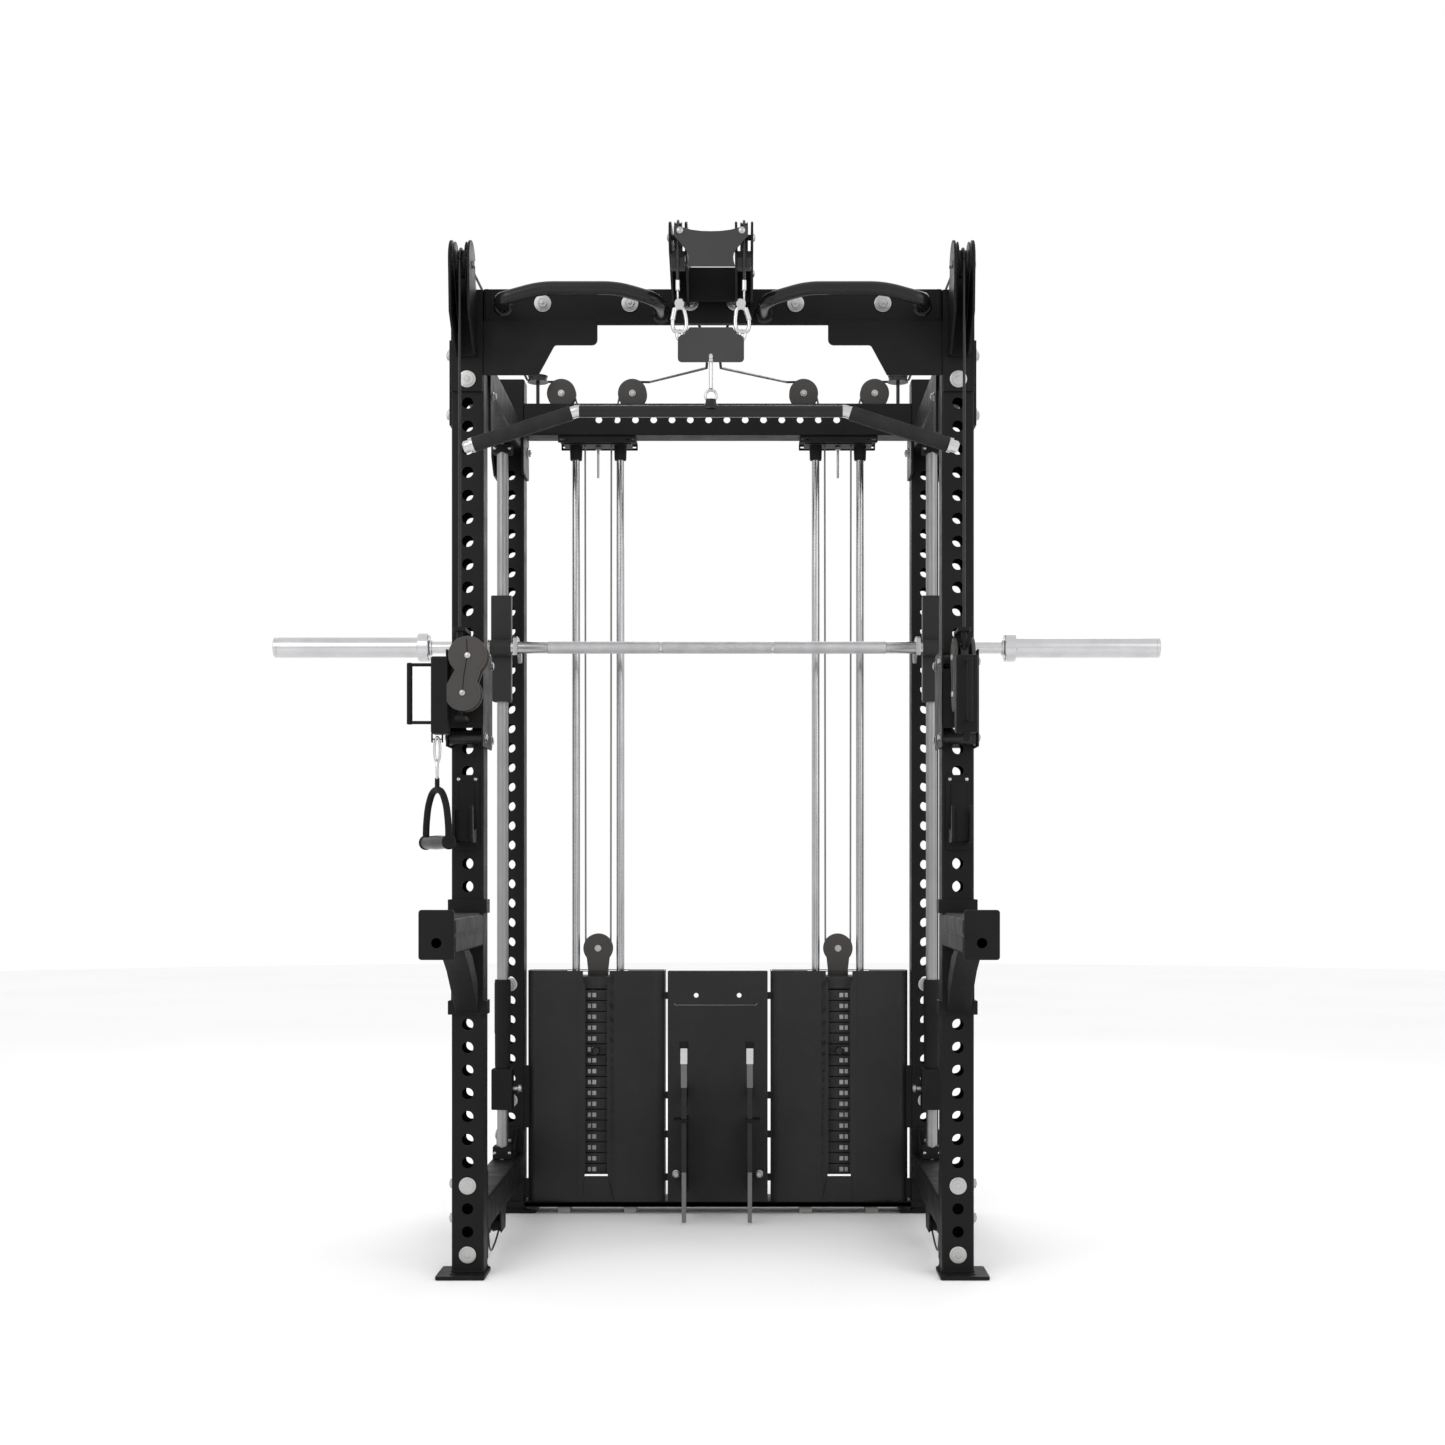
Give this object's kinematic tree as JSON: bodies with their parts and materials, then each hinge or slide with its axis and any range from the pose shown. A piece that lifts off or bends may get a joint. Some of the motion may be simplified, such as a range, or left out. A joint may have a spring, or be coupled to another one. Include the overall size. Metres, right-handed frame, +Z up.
{
  "type": "cable crossover machine",
  "caption": "Free-standing power rack with two weight stacks, sliding cable trolleys, a guided barbell, a lat pull-down station, J-cups and spotter arms.",
  "frame": {"origin": "on the floor, at the middle of the machine's overall footprint", "axes": "+Z up, +X to the user's right when facing the machine, -Y towards the user"},
  "size_m": [2.2, 1.31, 2.246],
  "materials": {
    "black_frame": "satin black powder coat with a fine texture",
    "grey_sheet": "dark grey matt powder coat on folded sheet",
    "chrome_bar": "polished hard chrome",
    "zinc_rod": "bright drawn steel",
    "plate_iron": "black painted cast iron",
    "black_rubber": "matt rubber",
    "cable_jacket": "black nylon jacket on steel cable",
    "nylon_pulley": "glass-filled nylon"
  },
  "bodies": {
    "frame": {"upright_front_left": "black_frame", "upright_rear_left": "black_frame", "top_side_beam_left": "black_frame", "spotter_arm_left": "black_frame", "j_cup_left": "black_frame", "shroud_left": "grey_sheet", "guide_frame_left": "zinc_rod", "smith_rail_left": "zinc_rod", "resting_plates_left": "plate_iron", "side_cable_left": "cable_jacket", "lat_cable_left": "cable_jacket", "stack_cable_left": "cable_jacket", "lat_strand_left": "cable_jacket", "trolley_strand_left": "cable_jacket", "upright_front_right": "black_frame", "upright_rear_right": "black_frame", "top_side_beam_right": "black_frame", "spotter_arm_right": "black_frame", "j_cup_right": "black_frame", "shroud_right": "grey_sheet", "guide_frame_right": "zinc_rod", "smith_rail_right": "zinc_rod", "resting_plates_right": "plate_iron", "side_cable_right": "cable_jacket", "lat_cable_right": "cable_jacket", "stack_cable_right": "cable_jacket", "lat_strand_right": "cable_jacket", "trolley_strand_right": "cable_jacket", "front_crossbeam": "black_frame", "rear_crossbeam": "black_frame", "base_frame": "black_frame", "lat_pulley_housing": "black_frame", "centre_panel": "grey_sheet"},
    "stack_left": {"lifted_plates_left": "plate_iron"},
    "selector_pin_left": {"selector_pin_left": "black_rubber"},
    "stack_pulley_left": {"stack_pulley_left": "nylon_pulley"},
    "beam_pulley_inner_left": {"beam_pulley_inner_left": "nylon_pulley"},
    "beam_pulley_outer_left": {"beam_pulley_outer_left": "nylon_pulley"},
    "top_pulley_left": {"top_pulley_left": "nylon_pulley"},
    "trolley_left": {"trolley_left": "black_frame"},
    "swivel_head_left": {"swivel_head_left": "grey_sheet"},
    "smith_stop_left": {"smith_stop_left": "black_frame"},
    "sleeve_left": {"barbell_sleeve_left": "chrome_bar"},
    "stack_right": {"lifted_plates_right": "plate_iron"},
    "selector_pin_right": {"selector_pin_right": "black_rubber"},
    "stack_pulley_right": {"stack_pulley_right": "nylon_pulley"},
    "beam_pulley_inner_right": {"beam_pulley_inner_right": "nylon_pulley"},
    "beam_pulley_outer_right": {"beam_pulley_outer_right": "nylon_pulley"},
    "top_pulley_right": {"top_pulley_right": "nylon_pulley"},
    "trolley_right": {"trolley_right": "black_frame"},
    "swivel_head_right": {"swivel_head_right": "grey_sheet"},
    "smith_stop_right": {"smith_stop_right": "black_frame"},
    "sleeve_right": {"barbell_sleeve_right": "chrome_bar"},
    "smith_carriage": {"smith_carriage_left": "black_frame", "smith_carriage_right": "black_frame"},
    "barbell": {"barbell_shaft": "chrome_bar"},
    "lat_coupler": {"coupler_plate": "grey_sheet"},
    "lat_bar": {"lat_bar": "chrome_bar"},
    "lat_sheaves": {"lat_sheaves": "nylon_pulley"},
    "d_handle": {"d_handle": "black_rubber"}
  },
  "joints": [
    {"name": "stack_lift_left", "type": "slide", "parent": "frame", "child": "stack_left", "axis": [0, 0, 1], "range_m": [0, 0.45], "deforming": ["stack_cable_left"]},
    {"name": "pin_pull_left", "type": "slide", "parent": "stack_left", "child": "selector_pin_left", "axis": [0, -1, 0], "range_m": [0, 0.055]},
    {"name": "stack_pulley_turn_left", "type": "hinge", "parent": "stack_left", "child": "stack_pulley_left", "pos_m": [-0.311, 0.595, 0.679], "axis": [0, 1, 0], "continuous": true},
    {"name": "beam_pulley_inner_turn_left", "type": "hinge", "parent": "frame", "child": "beam_pulley_inner_left", "pos_m": [-0.222, 0.595, 2.117], "axis": [0, 1, 0], "continuous": true},
    {"name": "beam_pulley_outer_turn_left", "type": "hinge", "parent": "frame", "child": "beam_pulley_outer_left", "pos_m": [-0.406, 0.595, 2.117], "axis": [0, 1, 0], "continuous": true},
    {"name": "top_pulley_turn_left", "type": "hinge", "parent": "frame", "child": "top_pulley_left", "pos_m": [-0.5325, -0.3115, 2.17], "axis": [1, 0, 0], "continuous": true},
    {"name": "trolley_slide_left", "type": "slide", "parent": "frame", "child": "trolley_left", "axis": [0, 0, 1], "range_m": [-0.05, 0.45], "deforming": ["trolley_strand_left"]},
    {"name": "head_swivel_left", "type": "hinge", "parent": "trolley_left", "child": "swivel_head_left", "pos_m": [-0.5325, -0.344, 1.333], "axis": [0, 0, 1], "range_deg": [0, 90]},
    {"name": "stop_slide_left", "type": "slide", "parent": "frame", "child": "smith_stop_left", "axis": [0, 0, 1], "range_m": [-0.09, 0.5]},
    {"name": "sleeve_spin_left", "type": "hinge", "parent": "barbell", "child": "sleeve_left", "pos_m": [-0.714, 0.384, 1.435], "axis": [1, 0, 0], "continuous": true},
    {"name": "stack_lift_right", "type": "slide", "parent": "frame", "child": "stack_right", "axis": [0, 0, 1], "range_m": [0, 0.45], "deforming": ["stack_cable_right"]},
    {"name": "pin_pull_right", "type": "slide", "parent": "stack_right", "child": "selector_pin_right", "axis": [0, -1, 0], "range_m": [0, 0.055]},
    {"name": "stack_pulley_turn_right", "type": "hinge", "parent": "stack_right", "child": "stack_pulley_right", "pos_m": [0.311, 0.595, 0.679], "axis": [0, 1, 0], "continuous": true},
    {"name": "beam_pulley_inner_turn_right", "type": "hinge", "parent": "frame", "child": "beam_pulley_inner_right", "pos_m": [0.222, 0.595, 2.117], "axis": [0, 1, 0], "continuous": true},
    {"name": "beam_pulley_outer_turn_right", "type": "hinge", "parent": "frame", "child": "beam_pulley_outer_right", "pos_m": [0.406, 0.595, 2.117], "axis": [0, 1, 0], "continuous": true},
    {"name": "top_pulley_turn_right", "type": "hinge", "parent": "frame", "child": "top_pulley_right", "pos_m": [0.5325, -0.3115, 2.17], "axis": [1, 0, 0], "continuous": true},
    {"name": "trolley_slide_right", "type": "slide", "parent": "frame", "child": "trolley_right", "axis": [0, 0, 1], "range_m": [-0.05, 0.45], "deforming": ["trolley_strand_right"]},
    {"name": "head_swivel_right", "type": "hinge", "parent": "trolley_right", "child": "swivel_head_right", "pos_m": [0.5325, -0.344, 1.333], "axis": [0, 0, 1], "range_deg": [0, 90]},
    {"name": "stop_slide_right", "type": "slide", "parent": "frame", "child": "smith_stop_right", "axis": [0, 0, 1], "range_m": [-0.09, 0.5]},
    {"name": "sleeve_spin_right", "type": "hinge", "parent": "barbell", "child": "sleeve_right", "pos_m": [0.714, 0.384, 1.435], "axis": [1, 0, 0], "continuous": true},
    {"name": "smith_slide", "type": "slide", "parent": "frame", "child": "smith_carriage", "axis": [0, 0, 1], "range_m": [-0.69, 0.35]},
    {"name": "bar_twist", "type": "hinge", "parent": "smith_carriage", "child": "barbell", "pos_m": [0, 0.384, 1.435], "axis": [1, 0, 0], "range_deg": [0, 50]},
    {"name": "lat_pull", "type": "slide", "parent": "frame", "child": "lat_coupler", "axis": [0, 0, -1], "range_m": [0, 0.9], "deforming": ["lat_strand_left", "lat_strand_right"]},
    {"name": "lat_bar_swivel", "type": "hinge", "parent": "lat_coupler", "child": "lat_bar", "pos_m": [0, -0.459, 1.855], "axis": [0, 0, 1], "range_deg": [-20, 20]},
    {"name": "lat_sheaves_turn", "type": "hinge", "parent": "frame", "child": "lat_sheaves", "pos_m": [0, -0.4265, 2.19], "axis": [1, 0, 0], "continuous": true},
    {"name": "d_handle_swing", "type": "hinge", "parent": "swivel_head_left", "child": "d_handle", "pos_m": [-0.58, -0.344, 1.158], "axis": [-1, 0, 0], "range_deg": [0, 80]}
  ],
  "couplings": [
    {"joint": "stack_lift_right", "follows": "stack_lift_left", "ratio": 1},
    {"joint": "lat_pull", "follows": "stack_lift_left", "ratio": 2},
    {"joint": "stack_pulley_turn_left", "follows": "stack_lift_left", "rad_per_m": -30.77},
    {"joint": "stack_pulley_turn_right", "follows": "stack_lift_left", "rad_per_m": 30.77},
    {"joint": "beam_pulley_inner_turn_left", "follows": "stack_lift_left", "rad_per_m": 61.54},
    {"joint": "beam_pulley_inner_turn_right", "follows": "stack_lift_left", "rad_per_m": -61.54},
    {"joint": "lat_sheaves_turn", "follows": "stack_lift_left", "rad_per_m": 61.54}
  ]
}
